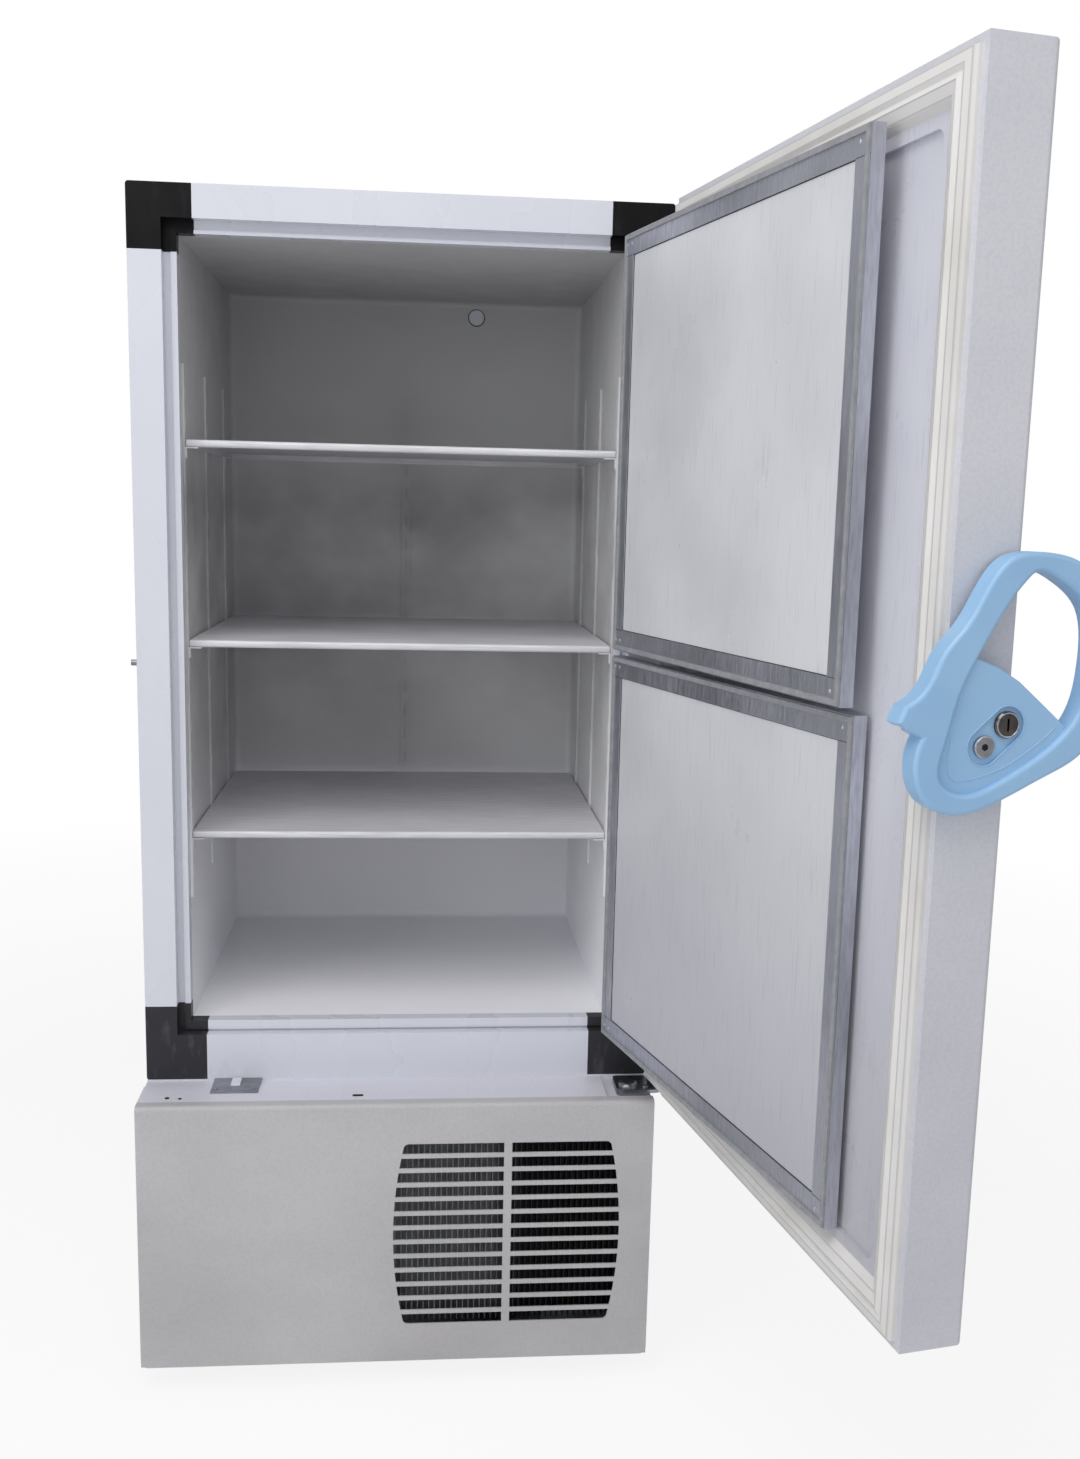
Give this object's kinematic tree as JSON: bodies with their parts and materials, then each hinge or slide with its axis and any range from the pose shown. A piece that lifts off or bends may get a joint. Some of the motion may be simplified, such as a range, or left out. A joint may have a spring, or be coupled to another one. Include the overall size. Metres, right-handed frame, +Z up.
{
  "type": "ultra low temperature freezer",
  "caption": "Upright ultra low temperature freezer: tall insulated cabinet with shelves, hinged inner doors and one thick gasketed outer door, on a wide machine base with casters.",
  "frame": {"origin": "on the floor, under the middle of the base's footprint", "axes": "+Z up, +Y towards the back of the cabinet, +X to the right seen from the front"},
  "size_m": [1.2395, 1.6979, 1.981],
  "materials": {
    "cabinet_paint": "satin",
    "base_paint": "satin",
    "liner_paint": "satin",
    "black_plastic": "matte",
    "foam": "matte",
    "white_plastic": "satin",
    "gasket_rubber": "matte",
    "handle_plastic": "satin",
    "stainless": "satin",
    "galvanized": "satin",
    "aluminium": "satin",
    "chrome": "polished",
    "black_paint": "satin",
    "black_rubber": "matte",
    "screen": "gloss"
  },
  "bodies": {
    "cabinet": {"outer_cabinet": "cabinet_paint", "back_panel": "galvanized", "cabinet_insulation": "foam", "inner_liner": "liner_paint", "frame_strip_top": "cabinet_paint", "frame_strip_right": "cabinet_paint", "frame_strip_left": "cabinet_paint", "frame_strip_bottom": "cabinet_paint", "frame_corners_top": "black_plastic", "frame_corners_bottom": "black_plastic", "shelf_pilasters": "stainless", "shelf_clips": "stainless", "shelf_top": "stainless", "shelf_middle": "stainless", "shelf_bottom": "stainless", "port_plugs": "white_plastic", "base_chassis": "galvanized", "deck_panel": "base_paint", "base_front_panel": "base_paint", "base_side_panels": "base_paint", "base_rear_grille": "base_paint", "power_inlet": "black_plastic", "condenser": "aluminium", "fan_shroud": "galvanized", "fan_motor": "black_paint", "compressor_first": "black_paint", "compressor_second": "black_paint", "compressor_mounts": "black_rubber", "caster_mounts": "galvanized", "hinge_bracket_upper": "stainless", "hinge_bracket_lower": "stainless", "latch_strike": "stainless", "door_switch_plate": "stainless", "inner_door_pins": "stainless"},
    "door_switch_plunger": {"door_switch_plunger": "white_plastic"},
    "fan": {"fan_blades": "black_plastic"},
    "front_caster_left": {"caster_fork_left": "galvanized"},
    "front_caster_right": {"caster_fork_right": "galvanized"},
    "front_wheel_left": {"front_wheel_left": "black_rubber"},
    "front_wheel_right": {"front_wheel_right": "black_rubber"},
    "rear_wheel_left": {"rear_wheel_left": "black_rubber"},
    "rear_wheel_right": {"rear_wheel_right": "black_rubber"},
    "levelling_foot_left": {"levelling_foot_left": "stainless"},
    "levelling_foot_right": {"levelling_foot_right": "stainless"},
    "outer_door": {"door_hinge_arms": "stainless", "door_skin": "cabinet_paint", "door_insulation": "foam", "door_inner_panel": "white_plastic", "door_gasket": "gasket_rubber", "control_panel": "screen", "handle_base": "handle_plastic", "handle_pivot_disc": "chrome"},
    "handle_lever": {"handle_lever": "handle_plastic"},
    "lock_cylinder": {"lock_cylinder": "chrome"},
    "upper_inner_door": {"upper_inner_frame": "aluminium", "upper_inner_panel": "white_plastic", "upper_inner_seal": "gasket_rubber"},
    "lower_inner_door": {"lower_inner_frame": "aluminium", "lower_inner_panel": "white_plastic", "lower_inner_seal": "gasket_rubber"}
  },
  "joints": [
    {"name": "outer_door_swing", "type": "hinge", "parent": "cabinet", "child": "outer_door", "pos_m": [0.441, -0.347, 1.212], "axis": [0, 0, 1], "range_deg": [-101.2, 3.8]},
    {"name": "upper_inner_door_swing", "type": "hinge", "parent": "cabinet", "child": "upper_inner_door", "pos_m": [0.37, -0.326, 1.596], "axis": [0, 0, 1], "range_deg": [-103.61, 3.9]},
    {"name": "lower_inner_door_swing", "type": "hinge", "parent": "cabinet", "child": "lower_inner_door", "pos_m": [0.37, -0.326, 0.925], "axis": [0, 0, 1], "range_deg": [-105.21, 3.96]},
    {"name": "handle_turn", "type": "hinge", "parent": "outer_door", "child": "handle_lever", "pos_m": [0.63761, -1.21637, 1.247], "axis": [-0.1942, 0.981, 0], "range_deg": [-28, 0]},
    {"name": "lock_turn", "type": "hinge", "parent": "handle_lever", "child": "lock_cylinder", "pos_m": [0.66409, -1.21113, 1.271], "axis": [-0.1942, 0.981, 0], "range_deg": [0, 90]},
    {"name": "door_switch_press", "type": "slide", "parent": "cabinet", "child": "door_switch_plunger", "axis": [0, 0, 1], "range_m": [-0.003, 0], "stiffness_N_per_m": 150, "springref_m": 0.002},
    {"name": "fan_spin", "type": "hinge", "parent": "cabinet", "child": "fan", "pos_m": [0.1843, -0.333, 0.27775], "axis": [0, 1, 0], "continuous": true},
    {"name": "front_caster_left_swivel", "type": "hinge", "parent": "cabinet", "child": "front_caster_left", "pos_m": [-0.335, -0.25, 0.082], "axis": [0, 0, 1], "continuous": true},
    {"name": "front_caster_right_swivel", "type": "hinge", "parent": "cabinet", "child": "front_caster_right", "pos_m": [0.335, -0.25, 0.082], "axis": [0, 0, 1], "continuous": true},
    {"name": "front_wheel_left_spin", "type": "hinge", "parent": "front_caster_left", "child": "front_wheel_left", "pos_m": [-0.335, -0.228, 0.038], "axis": [1, 0, 0], "continuous": true},
    {"name": "front_wheel_right_spin", "type": "hinge", "parent": "front_caster_right", "child": "front_wheel_right", "pos_m": [0.335, -0.228, 0.038], "axis": [1, 0, 0], "continuous": true},
    {"name": "rear_wheel_left_spin", "type": "hinge", "parent": "cabinet", "child": "rear_wheel_left", "pos_m": [-0.335, 0.352, 0.038], "axis": [1, 0, 0], "continuous": true},
    {"name": "rear_wheel_right_spin", "type": "hinge", "parent": "cabinet", "child": "rear_wheel_right", "pos_m": [0.335, 0.352, 0.038], "axis": [1, 0, 0], "continuous": true},
    {"name": "levelling_foot_left_turn", "type": "hinge", "parent": "cabinet", "child": "levelling_foot_left", "pos_m": [-0.396, -0.344, 0.032], "axis": [0, 0, 1], "continuous": true},
    {"name": "levelling_foot_right_turn", "type": "hinge", "parent": "cabinet", "child": "levelling_foot_right", "pos_m": [0.396, -0.344, 0.032], "axis": [0, 0, 1], "continuous": true}
  ],
  "couplings": [
    {"joint": "upper_inner_door_swing", "follows": "outer_door_swing", "ratio": 1.0237},
    {"joint": "lower_inner_door_swing", "follows": "outer_door_swing", "ratio": 1.0395}
  ]
}
